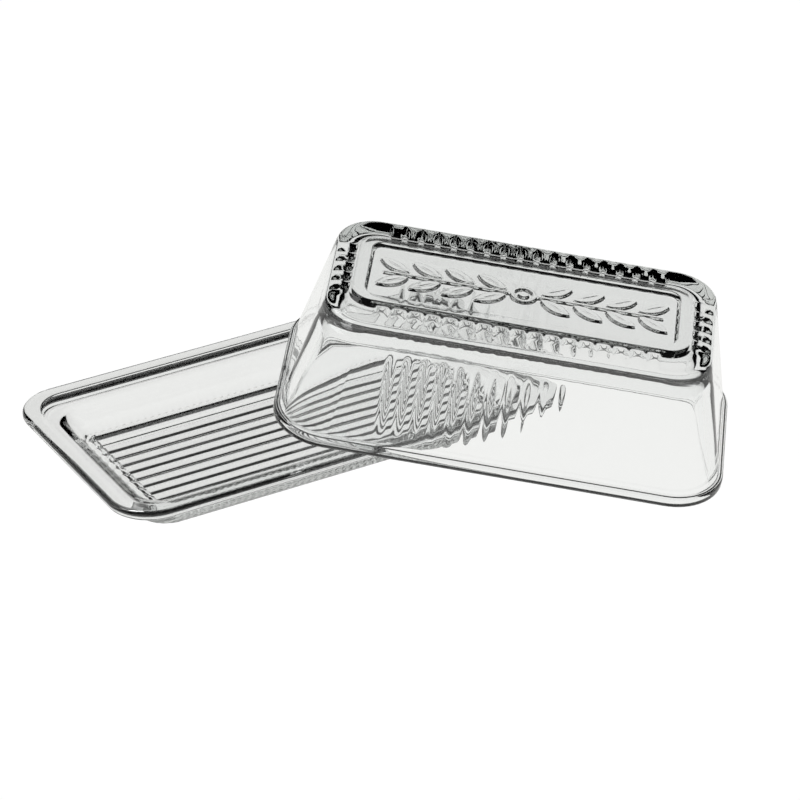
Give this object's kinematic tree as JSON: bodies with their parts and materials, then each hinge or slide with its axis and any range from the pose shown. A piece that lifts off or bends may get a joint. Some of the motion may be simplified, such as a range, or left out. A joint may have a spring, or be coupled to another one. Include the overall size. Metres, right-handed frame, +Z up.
{
  "type": "butter dish",
  "caption": "Clear pressed-glass butter dish: a low ribbed tray and a fluted box lid that lifts off, shown leaning on the tray's rim.",
  "frame": {"origin": "centre of the tray's flat base, in the plane that the dish stands on", "axes": "+Z up, +X along the tray and its floor ribs, +Y across the tray"},
  "size_m": [0.2617, 0.185, 0.085],
  "materials": {
    "tray_glass": "clear polished pressed glass",
    "lid_glass": "clear polished pressed glass"
  },
  "bodies": {
    "tray": {"tray": "tray_glass"},
    "lid": {"lid": "lid_glass"}
  },
  "joints": [
    {"name": "lid_lift", "type": "slide", "parent": "tray", "child": "lid", "axis": [0, 0, 1], "range_m": [0, 0.1]}
  ]
}
